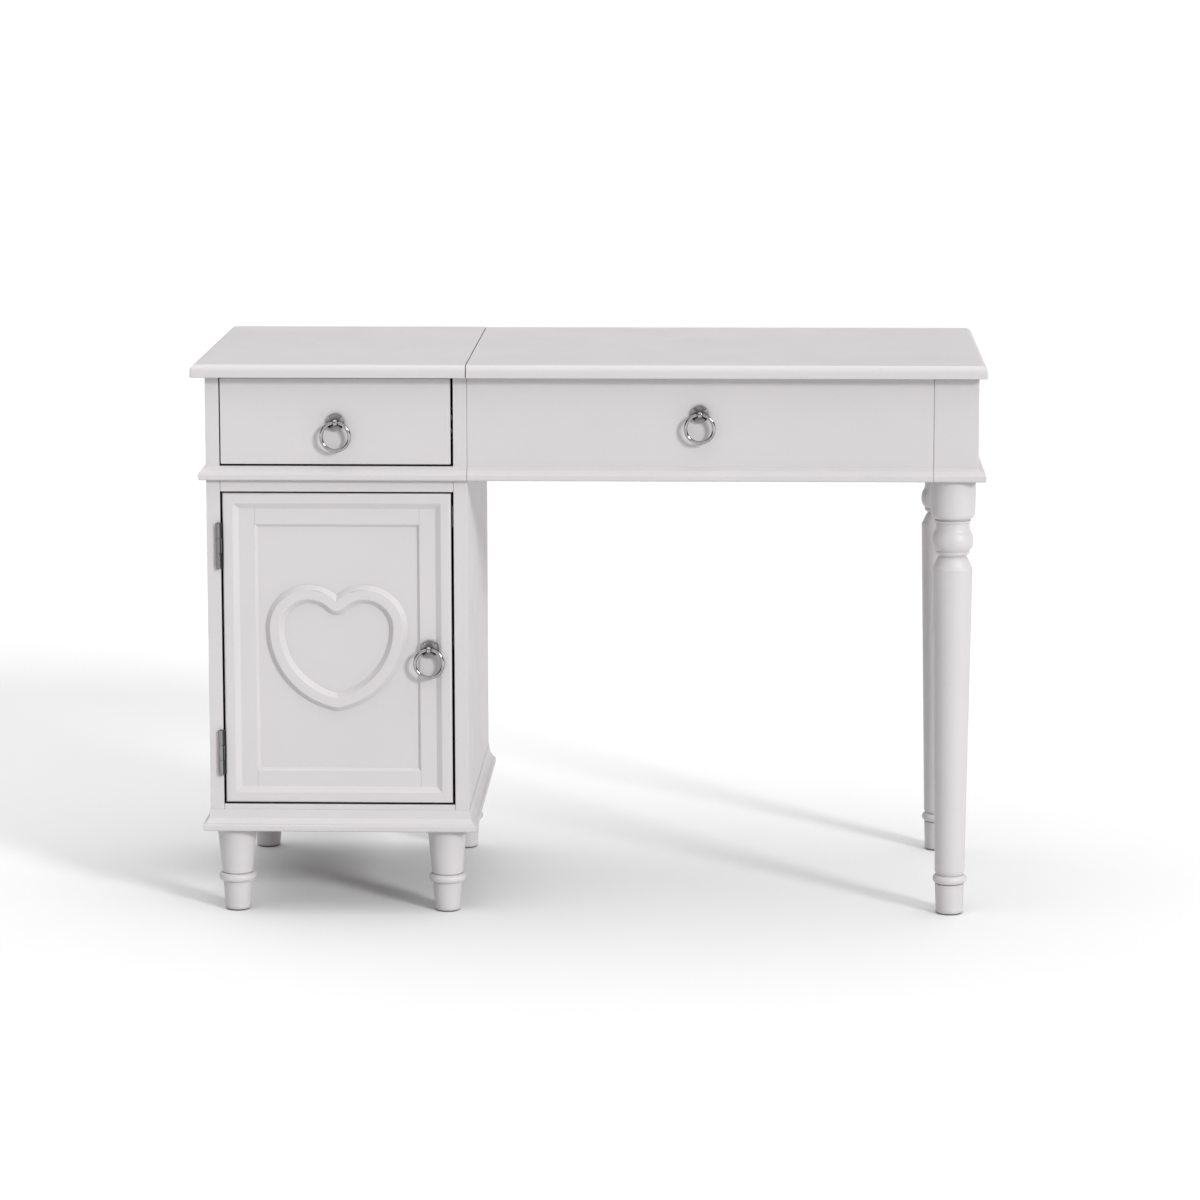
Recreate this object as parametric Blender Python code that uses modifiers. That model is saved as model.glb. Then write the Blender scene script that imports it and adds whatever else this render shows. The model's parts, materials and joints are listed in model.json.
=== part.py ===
"""White vanity table: a cabinet with a drawer and a door, beside a desk whose lid carries a mirror.

Metres, +Z up, the front faces -Y. The origin is on the floor, under the middle of the table.
"""

import math

import bmesh
import bpy
from mathutils import Matrix, Vector

# Overall size, and the clearance between pieces that touch.
WIDTH = 1.10
DEPTH = 0.485
HEIGHT = 0.780
TOUCH = 0.0003

# Boards.
TOP_THICKNESS = 0.018
BOARD = 0.019
APRON = 0.018
PANEL = 0.009
BACK_PANEL = 0.006
SHELF_THICKNESS = 0.016

# Plan: the tops overhang the carcass.
CABINET_LEFT = -WIDTH / 2 + 0.0185
CABINET_WIDTH = 0.363
CABINET_RIGHT = CABINET_LEFT + CABINET_WIDTH
DESK_RIGHT = WIDTH / 2 - 0.011
FACE = -DEPTH / 2 + 0.020
BACK = DEPTH / 2 - 0.0055
POST = 0.062
TOP_SEAM = 0.0012

# Heights.
TOP_UNDERSIDE = HEIGHT - TOP_THICKNESS
BOX_TOP = TOP_UNDERSIDE - 0.0005
WAIST_LOW = 0.6175
WAIST_HIGH = 0.6370
BASE_LOW = 0.120
BASE_HIGH = 0.150

# Cabinet openings.
OPENING_LEFT = CABINET_LEFT + BOARD
OPENING_RIGHT = CABINET_RIGHT - BOARD
DRAWER_LEFT_GAP = 0.0017
DOOR_LEFT_GAP = 0.0026
RIGHT_GAP = 0.0035
DRAWER_FRONT_RISE = 0.0009
DRAWER_LOW = WAIST_HIGH + 0.0015
DRAWER_HIGH = TOP_UNDERSIDE - 0.0025
DOOR_LOW = 0.1597
DOOR_HIGH = 0.5988
DOOR_THICKNESS = 0.020
RAIL_GAP = 0.0020
SHELF_Z = 0.378
SHELF_SETBACK = 0.040
DIVIDER_DROP = 0.005

# Desk frame: how far its boards sit back from the posts and up from the waist.
APRON_RECESS = 0.0006
DESK_SIDE_RECESS = 0.002
DESK_BOTTOM_RISE = 0.006

# Drawer box.
DRAWER_SIDE = 0.012
DRAWER_LENGTH = 0.400
RUNNER_SPACE = 0.0127
DRAWER_BOX_LOW = DRAWER_LOW + 0.007
DRAWER_BOX_HIGH = DRAWER_HIGH - 0.018
DRAWER_BOTTOM_RISE = 0.006
DRAWER_BOTTOM_THICKNESS = 0.005
RUNNER_DEPTH = 0.0100
RUNNER_WALL = 0.0012
OUTER_RUNNER = (0.042, 0.007)
INNER_RUNNER = (0.024, 0.006)

# Door layers, as insets from the door's edge and depths behind its face.
DOOR_BORDER = 0.0143
DOOR_BEVEL = 0.0225
DOOR_FLAT = 0.0447
DOOR_STEP = 0.0487
DOOR_RABBET = 0.0375
FLAT_DEPTH = 0.0050
PANEL_DEPTH = 0.0085
PANEL_THICKNESS = 0.0062

# Magnetic catch inside the cupboard, at the door's free edge.
CATCH_WIDTH = 0.014
CATCH_FRONT = FACE + 0.0215
CATCH_LENGTH = 0.0305
CATCH_LOW = 0.548
CATCH_HEIGHT = 0.030

# Heart band on the door panel.
HEART_LOBE = 0.0544
HEART_LOBE_X = 0.0388
HEART_SIDE = 0.1145
HEART_BAND = 0.0135
HEART_SLOPE = 0.0065
HEART_HEIGHT = 0.0070
HEART_ASIDE = 0.0018
HEART_Z = 0.4076
HEART_STEPS = (4, 12, 12)

# Ring pulls.
KNOB_RADIUS = 0.012
EYE_OUT = 0.0110
EYE_RADIUS = 0.0052
EYE_HOLE = 0.0032
EYE_WIDTH = 0.0055
RING_RADIUS = 0.0197
RING_WIRE = 0.0024
APRON_PULL_RISE = 0.0122
DOOR_PULL_INSET = 0.03185

# Door hinges.
DOOR_HINGE_LENGTH = 0.064
DOOR_HINGE_HEIGHTS = {"upper": 0.5244, "lower": 0.2312}
DOOR_KNUCKLE = 0.0031
DOOR_AXIS_X = OPENING_LEFT - DOOR_KNUCKLE
DOOR_AXIS_Y = FACE - DOOR_KNUCKLE - TOUCH
PIN = 0.0013
PIN_BORE = 0.0017
KNUCKLE_GAP = 0.0004

# Lid hinges.
LID_KNUCKLE = 0.0024
LID_HINGE_LENGTH = 0.060
LID_AXIS_Y = BACK + 0.0028
LID_AXIS_Z = TOP_UNDERSIDE - 0.0002
LID_LEFT = CABINET_RIGHT + TOP_SEAM / 2
LID_RIGHT = WIDTH / 2
LID_HINGE_INSET = 0.13
LID_LEAF = 0.0012

# Mirror under the lid.
MIRROR_LEFT = CABINET_RIGHT + 0.045
MIRROR_RIGHT = 0.425
MIRROR_FRONT = -0.182
MIRROR_REAR = 0.190
MIRROR_RABBET = 0.0163
GLASS = 0.004

# Lid stay: distances forward of the lid's hinge axis and below it, and the two arms' lengths.
STAY_BASE = (0.050, 0.075)
STAY_LID = (0.0725, 0.010)
STAY_LOWER = 0.0706
STAY_UPPER = 0.0870
STAY_ARM_RADIUS = 0.006
STAY_ARM_THICKNESS = 0.0022
STAY_PITCH = 0.0031
STAY_WALL_X = DESK_RIGHT - POST
RIVET = 0.0025
RIVET_HOLE = 0.0028
SLOT_RADIUS = 0.0037
SLOT_LENGTH = 0.0048
SLOT_TILT = math.radians(36)

# Turned feet and legs.
FOOT_INSET = 0.033
FOOT_STEPS = 24
LEG_STEPS = 28
LEG_ASIDE = 0.0025

# Finishes: colour, roughness, metallic.
LACQUER = ((0.78, 0.76, 0.76), 0.35, 0.0)
DRAWER_WOOD = ((0.62, 0.50, 0.36), 0.6, 0.0)
STEEL = ((0.45, 0.45, 0.46), 0.35, 1.0)
ZINC = ((0.62, 0.63, 0.65), 0.4, 1.0)
NICKEL = ((0.80, 0.79, 0.78), 0.12, 1.0)
SILVERED = ((0.90, 0.92, 0.92), 0.02, 1.0)
PLASTIC = ((0.85, 0.85, 0.84), 0.5, 0.0)


def clear_scene():
    for item in list(bpy.data.objects):
        bpy.data.objects.remove(item)


def new_collection(name):
    collection = bpy.data.collections.new(name)
    bpy.context.scene.collection.children.link(collection)
    return collection


clear_scene()
PARTS = new_collection("vanity_table")
CUTTERS = new_collection("cutters")


def finish_material(name, finish):
    colour, roughness, metallic = finish
    material = bpy.data.materials.new(name)
    material.use_nodes = True
    shader = material.node_tree.nodes["Principled BSDF"]
    shader.inputs["Base Color"].default_value = (*colour, 1.0)
    shader.inputs["Roughness"].default_value = roughness
    shader.inputs["Metallic"].default_value = metallic
    return material


def pivot(name, location):
    """An empty on a joint's axis, which the pieces that turn or slide there hang from."""
    empty = bpy.data.objects.new(name, None)
    empty.location = location
    empty.empty_display_size = 0.03
    PARTS.objects.link(empty)
    return empty


def hang(piece, parent):
    if parent is not None:
        piece.parent = parent
        piece.matrix_parent_inverse = Matrix.Translation(-parent.location)


def finish_piece(name, shape, finish, parent):
    bmesh.ops.recalc_face_normals(shape, faces=shape.faces)
    mesh = bpy.data.meshes.new(name)
    shape.to_mesh(mesh)
    shape.free()
    mesh.shade_smooth()
    mesh.set_sharp_from_angle(angle=math.radians(35))
    piece = bpy.data.objects.new(name, mesh)
    if finish is None:
        piece.hide_render = True
        piece.display_type = "WIRE"
        CUTTERS.objects.link(piece)
    else:
        mesh.materials.append(finish_material(name, finish))
        PARTS.objects.link(piece)
        hang(piece, parent)
    return piece


def block(name, low, high, finish=None, parent=None):
    """A board or block between two corners. With no finish it is a cutter."""
    low, high = Vector(low), Vector(high)
    shape = bmesh.new()
    bmesh.ops.create_cube(shape, size=1.0)
    bmesh.ops.scale(shape, vec=high - low, verts=shape.verts)
    bmesh.ops.translate(shape, vec=(low + high) / 2, verts=shape.verts)
    return finish_piece(name, shape, finish, parent)


def placed(axis, u, v, along):
    """The point (u, v) of a cross-section, at a distance along the axis."""
    return {
        "x": Vector((along, u, v)),
        "y": Vector((u, along, v)),
        "z": Vector((u, v, along)),
    }[axis]


def loft(name, loops, finish=None, parent=None, ring=False):
    """Loops with equal numbers of points, joined in order, and capped unless they close into a ring."""
    shape = bmesh.new()
    rows = [[shape.verts.new(point) for point in loop] for loop in loops]
    pairs = list(zip(rows, rows[1:]))
    if ring:
        pairs.append((rows[-1], rows[0]))
    else:
        shape.faces.new(rows[0])
        shape.faces.new(rows[-1])
    count = len(rows[0])
    for near, far in pairs:
        for i in range(count):
            j = (i + 1) % count
            shape.faces.new((near[i], near[j], far[j], far[i]))
    return finish_piece(name, shape, finish, parent)


def prism(name, axis, outline, start, end, finish=None, parent=None):
    """A flat outline pushed along an axis."""
    loops = [[placed(axis, u, v, along) for u, v in outline] for along in (start, end)]
    return loft(name, loops, finish, parent)


def arc(centre, radius, start, end, steps):
    """Points round an arc, in degrees, with both ends."""
    angles = [math.radians(start + (end - start) * i / steps) for i in range(steps + 1)]
    return [(centre[0] + radius * math.cos(a), centre[1] + radius * math.sin(a)) for a in angles]


def circle(centre, radius, steps=16):
    return arc(centre, radius, 0, 360, steps)[:-1]


def sweep(name, axis, path, profile, finish, parent=None, closed=False):
    """A moulding: a profile of (outwards, along the axis) taken round a path with mitred corners."""
    points = [Vector(point) for point in path]
    count = len(points)
    loops = []
    for i, here in enumerate(points):
        runs = []
        if closed or i > 0:
            runs.append(here - points[i - 1])
        if closed or i < count - 1:
            runs.append(points[(i + 1) % count] - here)
        normals = [Vector((run.y, -run.x)).normalized() for run in runs]
        mitre = sum(normals, Vector((0, 0)))
        mitre /= 1 + normals[0].dot(normals[1]) if len(normals) == 2 else 1
        loops.append([placed(axis, *(here + mitre * out), along) for out, along in profile])
    return loft(name, loops, finish, parent, ring=closed)


def turned(name, profile, finish, steps, location=(0, 0, 0), turn=(0, 0, 0), parent=None):
    """A turned piece: its outer side, top to bottom, screwed round its own Z axis."""
    mesh = bpy.data.meshes.new(name)
    points = [(radius, 0, height) for radius, height in profile]
    mesh.from_pydata(points, [(i, i + 1) for i in range(len(points) - 1)], [])
    piece = bpy.data.objects.new(name, mesh)
    piece.location = location
    piece.rotation_euler = turn
    if finish is None:
        piece.hide_render = True
        piece.display_type = "WIRE"
        CUTTERS.objects.link(piece)
    else:
        mesh.materials.append(finish_material(name, finish))
        PARTS.objects.link(piece)
        hang(piece, parent)
    screw = piece.modifiers.new("turning", "SCREW")
    screw.steps = steps
    screw.render_steps = steps
    screw.use_merge_vertices = True
    screw.merge_threshold = 0.00001
    screw.use_smooth_shade = True
    return piece


def combine(piece, tool, operation="DIFFERENCE"):
    step = piece.modifiers.new(tool.name, "BOOLEAN")
    step.operation = operation
    step.solver = "EXACT"
    step.object = tool


# Cabinet carcass.


def cabinet_carcass():
    inner_left = OPENING_LEFT + TOUCH
    inner_right = OPENING_RIGHT - TOUCH
    inner_back = BACK - BACK_PANEL - TOUCH
    top = TOP_UNDERSIDE - TOUCH
    behind_rail = FACE + BOARD + TOUCH
    rail_top = DOOR_LOW - RAIL_GAP
    block("cabinet_side_left", (CABINET_LEFT, FACE, BASE_LOW), (OPENING_LEFT, BACK, top), LACQUER)
    block("cabinet_side_right", (OPENING_RIGHT, FACE, BASE_LOW), (CABINET_RIGHT, BACK, top), LACQUER)
    block(
        "cabinet_back_panel",
        (inner_left, BACK - BACK_PANEL, BASE_LOW),
        (inner_right, BACK, top),
        LACQUER,
    )
    block(
        "cabinet_bottom_rail",
        (inner_left, FACE, BASE_LOW),
        (inner_right, FACE + BOARD, rail_top),
        LACQUER,
    )
    block(
        "cabinet_bottom_board",
        (inner_left, behind_rail, rail_top - SHELF_THICKNESS),
        (inner_right, inner_back, rail_top),
        LACQUER,
    )
    block(
        "cabinet_middle_rail",
        (inner_left, FACE, DOOR_HIGH + RAIL_GAP),
        (inner_right, FACE + BOARD, WAIST_HIGH - TOUCH),
        LACQUER,
    )
    divider_top = WAIST_HIGH - DIVIDER_DROP
    block(
        "cabinet_divider",
        (inner_left, behind_rail, divider_top - PANEL),
        (inner_right, inner_back, divider_top),
        LACQUER,
    )
    block(
        "cabinet_shelf",
        (inner_left, FACE + SHELF_SETBACK, SHELF_Z),
        (inner_right, inner_back, SHELF_Z + SHELF_THICKNESS),
        LACQUER,
    )


def edge_profile():
    """Inset and height of a top's moulded edge: a small lip, then a long round-over to the flat."""
    lip = 0.008
    inset = 0.009
    rise = TOP_THICKNESS - lip
    curve = [
        (inset * (1 - math.cos(math.radians(a))), lip + rise * math.sin(math.radians(a)))
        for a in (0, 22.5, 45, 67.5, 90)
    ]
    return [(0.0012, 0.0), (0.0, 0.0012)] + curve


def top_board(name, low, high, moulded, parent=None):
    """A top whose named edges carry the moulded profile."""
    loops = []
    for inset, rise in edge_profile():
        left = low[0] + inset * ("left" in moulded)
        right = high[0] - inset * ("right" in moulded)
        front = low[1] + inset * ("front" in moulded)
        back = high[1] - inset * ("back" in moulded)
        plan = [(left, front), (right, front), (right, back), (left, back)]
        loops.append([Vector((x, y, TOP_UNDERSIDE + rise)) for x, y in plan])
    return loft(name, loops, LACQUER, parent)


def waist_profile():
    """The waist moulding's section: a slightly rounded slope down to a blunt nose."""
    nose_out = 0.0105
    corner = 0.003
    top = WAIST_HIGH - 0.0002
    section = [(TOUCH, top), (TOUCH, WAIST_LOW)]
    section += arc((nose_out - corner - 0.0004, WAIST_LOW + corner), corner, -90, 0, 3)
    section += [(nose_out, WAIST_LOW + 0.0072), (0.0096, WAIST_LOW + 0.0096)]
    section += [(0.0058, WAIST_LOW + 0.0144)]
    return section


def base_profile():
    """The base moulding's section: a slope above a blunt rounded nose."""
    nose_out = 0.011
    nose = 0.003
    nose_top = BASE_LOW + 0.0085
    section = [(TOUCH, BASE_HIGH), (TOUCH, BASE_LOW)]
    section += arc((nose_out - nose, BASE_LOW + nose), nose, -90, 0, 3)
    section += arc((nose_out - nose, nose_top - nose), nose, 0, 60, 2)
    section += [(0.0060, BASE_LOW + 0.0135), (0.0026, BASE_HIGH - 0.006), (0.0015, BASE_HIGH)]
    return section


def cabinet_mouldings():
    left_front = (CABINET_LEFT, FACE)
    right_front = (CABINET_RIGHT, FACE)
    path = [(CABINET_LEFT, BACK), left_front, right_front]
    sweep("waist_moulding_cabinet", "z", path, waist_profile(), LACQUER)
    sweep("base_moulding", "z", path + [(CABINET_RIGHT, BACK)], base_profile(), LACQUER)


def foot_profile():
    bead = 0.0062
    section = [(0.0, BASE_LOW - TOUCH), (0.0266, BASE_LOW - TOUCH), (0.0220, 0.0548)]
    section += arc((0.0202, 0.0480), bead, 78, -78, 6)
    section += [(0.0206, 0.0405), (0.0176, 0.0040), (0.0146, 0.0), (0.0, 0.0)]
    return section


def cabinet_feet():
    columns = {"left": CABINET_LEFT + FOOT_INSET, "right": CABINET_RIGHT - FOOT_INSET}
    rows = {"front": FACE + FOOT_INSET - 0.002, "rear": BACK - FOOT_INSET}
    for row, y in rows.items():
        for column, x in columns.items():
            turned(f"foot_{row}_{column}", foot_profile(), LACQUER, FOOT_STEPS, (x, y, 0))


# Ring pulls.


def ring_pull(name, x, face, z, carrier):
    """A cut-stone knob whose nose is an eye, and the ring that hangs through the eye."""
    stone = [
        (0.0, 0.0084),
        (0.0056, 0.0080),
        (0.0098, 0.0060),
        (KNOB_RADIUS, 0.0042),
        (0.0100, 0.0016),
        (0.0100, TOUCH),
        (0.0, TOUCH),
    ]
    facing_front = (math.radians(90), 0, 0)
    knob = turned(f"{name}_pull_base", stone, NICKEL, 12, (x, face, z), facing_front, carrier)
    knob.modifiers["turning"].use_smooth_shade = False
    eye = (face - EYE_OUT, z)
    half = EYE_WIDTH / 2
    combine(knob, prism(f"{name}_eye", "x", circle(eye, EYE_RADIUS), x - half, x + half), "UNION")
    combine(knob, prism(f"{name}_eye_hole", "x", circle(eye, EYE_HOLE), x - 2 * half, x + 2 * half))
    swing = pivot(f"{name}_ring_swing", (x, eye[0], z))
    if carrier is not None:
        hang(swing, carrier)
    ring = [
        [
            Vector((x + r * math.cos(a), y, z - RING_RADIUS + r * math.sin(a)))
            for r, y in circle((RING_RADIUS, eye[0]), RING_WIRE, 10)
        ]
        for a in (2 * math.pi * (i + 0.5) / 32 for i in range(32))
    ]
    loft(f"{name}_pull_ring", ring, NICKEL, swing, ring=True)


# Drawer.


def drawer_runner_outline(x, z, towards, size):
    """A C channel that is open in the direction it faces, +1 or -1 along X."""
    height, lip = size
    far = x + towards * RUNNER_DEPTH
    inside = x + towards * RUNNER_WALL
    lip_inside = far - towards * RUNNER_WALL
    low, high = z - height / 2, z + height / 2
    return [
        (x, low),
        (far, low),
        (far, low + lip),
        (lip_inside, low + lip),
        (lip_inside, low + RUNNER_WALL),
        (inside, low + RUNNER_WALL),
        (inside, high - RUNNER_WALL),
        (lip_inside, high - RUNNER_WALL),
        (lip_inside, high - lip),
        (far, high - lip),
        (far, high),
        (x, high),
    ]


def drawer():
    middle = ((OPENING_LEFT + OPENING_RIGHT) / 2, FACE, (DRAWER_LOW + DRAWER_HIGH) / 2)
    slide = pivot("drawer_slide", middle)
    left = OPENING_LEFT + RUNNER_SPACE
    right = OPENING_RIGHT - RUNNER_SPACE
    front = FACE + BOARD + TOUCH
    back = front + DRAWER_LENGTH
    block(
        "drawer_front",
        (OPENING_LEFT + DRAWER_LEFT_GAP, FACE, DRAWER_LOW + DRAWER_FRONT_RISE),
        (OPENING_RIGHT - RIGHT_GAP, FACE + BOARD, DRAWER_HIGH),
        LACQUER,
        slide,
    )
    low, high = DRAWER_BOX_LOW, DRAWER_BOX_HIGH
    for side, start in {"left": left, "right": right - DRAWER_SIDE}.items():
        end = start + DRAWER_SIDE
        block(f"drawer_side_{side}", (start, front, low), (end, back, high), DRAWER_WOOD, slide)
    inner_left = left + DRAWER_SIDE + TOUCH
    inner_right = right - DRAWER_SIDE - TOUCH
    bottom = low + DRAWER_BOTTOM_RISE
    block(
        "drawer_back",
        (inner_left, back - DRAWER_SIDE, low),
        (inner_right, back, high),
        DRAWER_WOOD,
        slide,
    )
    block(
        "drawer_bottom",
        (inner_left, front, bottom),
        (inner_right, back - DRAWER_SIDE - TOUCH, bottom + DRAWER_BOTTOM_THICKNESS),
        DRAWER_WOOD,
        slide,
    )
    height = (low + high) / 2
    sides = {"left": (OPENING_LEFT, left, 1), "right": (OPENING_RIGHT, right, -1)}
    for side, (wall_x, box_x, towards) in sides.items():
        outer = drawer_runner_outline(wall_x + towards * TOUCH, height, towards, OUTER_RUNNER)
        prism(f"drawer_runner_outer_{side}", "y", outer, front + 0.004, back - 0.002, ZINC)
        inner = drawer_runner_outline(box_x - towards * TOUCH, height, -towards, INNER_RUNNER)
        prism(f"drawer_runner_inner_{side}", "y", inner, front + 0.002, back - 0.004, ZINC, slide)
    ring_pull("drawer", slide.location.x, FACE, slide.location.z, slide)


# Door.


def heart_half(inset):
    """The heart's right half, from notch to tip, offset inwards: two arcs, and one more round the notch."""
    notch_steps, lobe_steps, side_steps = HEART_STEPS
    lobe, side = HEART_LOBE - inset, HEART_SIDE - inset
    notch_z = math.sqrt(HEART_LOBE**2 - HEART_LOBE_X**2)
    side_x = HEART_LOBE_X + HEART_LOBE - HEART_SIDE
    if inset > 0:
        lobe_start = math.degrees(math.atan2(notch_z, -HEART_LOBE_X))
        points = arc((0, notch_z), inset, -90, lobe_start - 180, notch_steps)[:-1]
        points += arc((HEART_LOBE_X, 0), lobe, lobe_start, 0, lobe_steps)
    else:
        lobe_start = math.degrees(math.acos(-HEART_LOBE_X / lobe))
        points = arc((HEART_LOBE_X, 0), lobe, lobe_start, 0, notch_steps + lobe_steps)
    tip = -math.degrees(math.acos(-side_x / side))
    return points + arc((side_x, 0), side, 0, tip, side_steps)[1:]


def heart_loop(x, y, inset):
    right = heart_half(inset)
    left = [(-u, v) for u, v in right[-2:0:-1]]
    return [Vector((x + u, y, HEART_Z + v)) for u, v in right + left]


def door_frame_profile():
    section = arc((0.004, FACE + 0.004), 0.004, 180, 270, 3)
    section += [(DOOR_BORDER, FACE), (DOOR_BEVEL, FACE + FLAT_DEPTH), (DOOR_FLAT, FACE + FLAT_DEPTH)]
    section += [(DOOR_STEP, FACE + PANEL_DEPTH), (DOOR_RABBET, FACE + PANEL_DEPTH)]
    section += [(DOOR_RABBET, FACE + DOOR_THICKNESS), (0.0, FACE + DOOR_THICKNESS)]
    return section


def door_leaves(level, centre, door_pivot):
    """A butt hinge: three knuckles, the middle one on the door's leaf, and the pin fixed in the outer two."""
    low, high = centre - DOOR_HINGE_LENGTH / 2, centre + DOOR_HINGE_LENGTH / 2
    third = DOOR_HINGE_LENGTH / 3
    axis = (DOOR_AXIS_X, DOOR_AXIS_Y)
    reach = DOOR_AXIS_Y + 0.022
    outer_thirds = [(low - third, low + third), (high - third, high + third)]
    leaves = {
        "fixed": (0.0034, 0.0042, 0.0027, None, [(low + third, high - third)]),
        "moving": (0.0046, 0.0054, 0.0022, door_pivot, outer_thirds),
    }
    for kind, (near, far, tab, parent, notches) in leaves.items():
        tab_low = 0.0010
        start = math.degrees(math.asin(tab / DOOR_KNUCKLE))
        end = 360 + math.degrees(math.asin(tab_low / DOOR_KNUCKLE))
        outline = arc(axis, DOOR_KNUCKLE, start, end, 24)
        outline += [(axis[0] + far, axis[1] + tab_low), (axis[0] + far, reach)]
        outline += [(axis[0] + near, reach), (axis[0] + near, axis[1] + tab)]
        leaf = prism(f"door_hinge_{level}_{kind}_leaf", "z", outline, low, high, STEEL, parent)
        for i, (bottom, top) in enumerate(notches):
            spare = KNUCKLE_GAP / 2
            cut_low = (axis[0] - 0.006, axis[1] - 0.006, bottom - spare)
            cut_high = (axis[0] + 0.008, axis[1] + 0.0032, top + spare)
            combine(leaf, block(f"hinge_{level}_{kind}_notch_{i}", cut_low, cut_high))
        radius = PIN if kind == "fixed" else PIN_BORE
        pin = prism(f"hinge_{level}_{kind}_pin", "z", circle(axis, radius, 12), low - 0.001, high + 0.001)
        combine(leaf, pin, "UNION" if kind == "fixed" else "DIFFERENCE")


def door():
    swing = pivot("door_swing", (DOOR_AXIS_X, DOOR_AXIS_Y, (DOOR_LOW + DOOR_HIGH) / 2))
    left, right = OPENING_LEFT + DOOR_LEFT_GAP, OPENING_RIGHT - RIGHT_GAP
    corners = [(left, DOOR_LOW), (left, DOOR_HIGH), (right, DOOR_HIGH), (right, DOOR_LOW)]
    sweep("door_frame", "y", corners, door_frame_profile(), LACQUER, swing, closed=True)
    inset = DOOR_RABBET + TOUCH
    panel_face = FACE + PANEL_DEPTH + TOUCH
    block(
        "door_panel",
        (left + inset, panel_face, DOOR_LOW + inset),
        (right - inset, panel_face + PANEL_THICKNESS, DOOR_HIGH - inset),
        LACQUER,
        swing,
    )
    middle = (left + right) / 2 - HEART_ASIDE
    base, crest = panel_face - TOUCH, panel_face - TOUCH - HEART_HEIGHT
    rings = [(base, -HEART_SLOPE), (crest, 0), (crest, HEART_BAND), (base, HEART_BAND + HEART_SLOPE)]
    loops = [heart_loop(middle, y, offset) for y, offset in rings]
    loft("door_heart", loops, LACQUER, swing, ring=True)
    for level, centre in DOOR_HINGE_HEIGHTS.items():
        door_leaves(level, centre, swing)
    pull_x = right - DOOR_PULL_INSET
    ring_pull("door", pull_x, FACE + FLAT_DEPTH, (DOOR_LOW + DOOR_HIGH) / 2, swing)
    catch = OPENING_RIGHT - TOUCH
    block(
        "door_catch",
        (catch - CATCH_WIDTH, CATCH_FRONT, CATCH_LOW),
        (catch, CATCH_FRONT + CATCH_LENGTH, CATCH_LOW + CATCH_HEIGHT),
        PLASTIC,
    )


# Desk.


def desk_frame():
    left = CABINET_RIGHT + TOUCH
    posts = DESK_RIGHT - POST
    front = FACE + APRON_RECESS
    behind_apron = front + APRON + TOUCH
    before_rear = BACK - APRON - TOUCH
    block(
        "desk_front_apron",
        (left, front, WAIST_LOW),
        (posts - TOUCH, front + APRON, BOX_TOP),
        LACQUER,
    )
    block(
        "desk_rear_apron",
        (left, BACK - APRON, WAIST_LOW),
        (posts - TOUCH, BACK, BOX_TOP),
        LACQUER,
    )
    block(
        "desk_side_left",
        (left, behind_apron, WAIST_LOW),
        (left + APRON, before_rear, BOX_TOP),
        LACQUER,
    )
    side_x = DESK_RIGHT - DESK_SIDE_RECESS - APRON
    post_front, post_rear = FACE + POST, BACK - POST
    block(
        "desk_side_right",
        (side_x, post_front + TOUCH, WAIST_LOW),
        (side_x + APRON, post_rear - TOUCH, BOX_TOP),
        LACQUER,
    )
    for row, start in {"front": FACE, "rear": post_rear}.items():
        block(
            f"desk_post_{row}",
            (posts, start, WAIST_LOW),
            (DESK_RIGHT, start + POST, BOX_TOP),
            LACQUER,
        )
    inner_left = left + APRON + TOUCH
    outline = [
        (inner_left, behind_apron),
        (posts - TOUCH, behind_apron),
        (posts - TOUCH, post_front + TOUCH),
        (side_x - TOUCH, post_front + TOUCH),
        (side_x - TOUCH, post_rear - TOUCH),
        (posts - TOUCH, post_rear - TOUCH),
        (posts - TOUCH, before_rear),
        (inner_left, before_rear),
    ]
    panel_low = WAIST_LOW + DESK_BOTTOM_RISE
    prism("desk_bottom_panel", "z", outline, panel_low, panel_low + PANEL, LACQUER)
    path = [(CABINET_RIGHT + 2 * TOUCH, FACE), (DESK_RIGHT, FACE), (DESK_RIGHT, BACK)]
    sweep("waist_moulding_desk", "z", path, waist_profile(), LACQUER)


def leg_profile():
    """From the post down: drum, fillet, cove, bulb, fillet, cove, long taper, bead and foot."""
    top = WAIST_LOW - TOUCH
    section = [(0.0, top), (0.0310, top), (0.0317, top - 0.0010), (0.0307, 0.5700)]
    section += [(0.0297, 0.5662), (0.0278, 0.5636), (0.0250, 0.5622)]
    section += [(0.0240, 0.5612), (0.0247, 0.5604), (0.0247, 0.5576), (0.0234, 0.5564)]
    section += [(0.0234, 0.5530), (0.0239, 0.5480), (0.0250, 0.5438)]
    section += [(0.0274, 0.5390), (0.0286, 0.5330), (0.0285, 0.5285), (0.0270, 0.5220), (0.0243, 0.5178)]
    section += [(0.0232, 0.5166), (0.0237, 0.5148), (0.0200, 0.5104), (0.0188, 0.5092)]
    section += [(0.0200, 0.5076), (0.0234, 0.5020), (0.0255, 0.4962), (0.0268, 0.4938)]
    section += [(0.0277, 0.4922), (0.0278, 0.4900), (0.0210, 0.0608)]
    section += arc((0.0176, 0.0495), 0.0062, 78, -78, 6)
    section += [(0.0206, 0.0420), (0.0190, 0.0040), (0.0158, 0.0), (0.0, 0.0)]
    return section


def desk_legs():
    x = DESK_RIGHT - POST / 2 - LEG_ASIDE
    for row, y in {"front": FACE + POST / 2, "rear": BACK - POST / 2}.items():
        turned(f"desk_leg_{row}", leg_profile(), LACQUER, LEG_STEPS, (x, y, 0))


# Lid, its hinges, the mirror and the stay.


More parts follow.
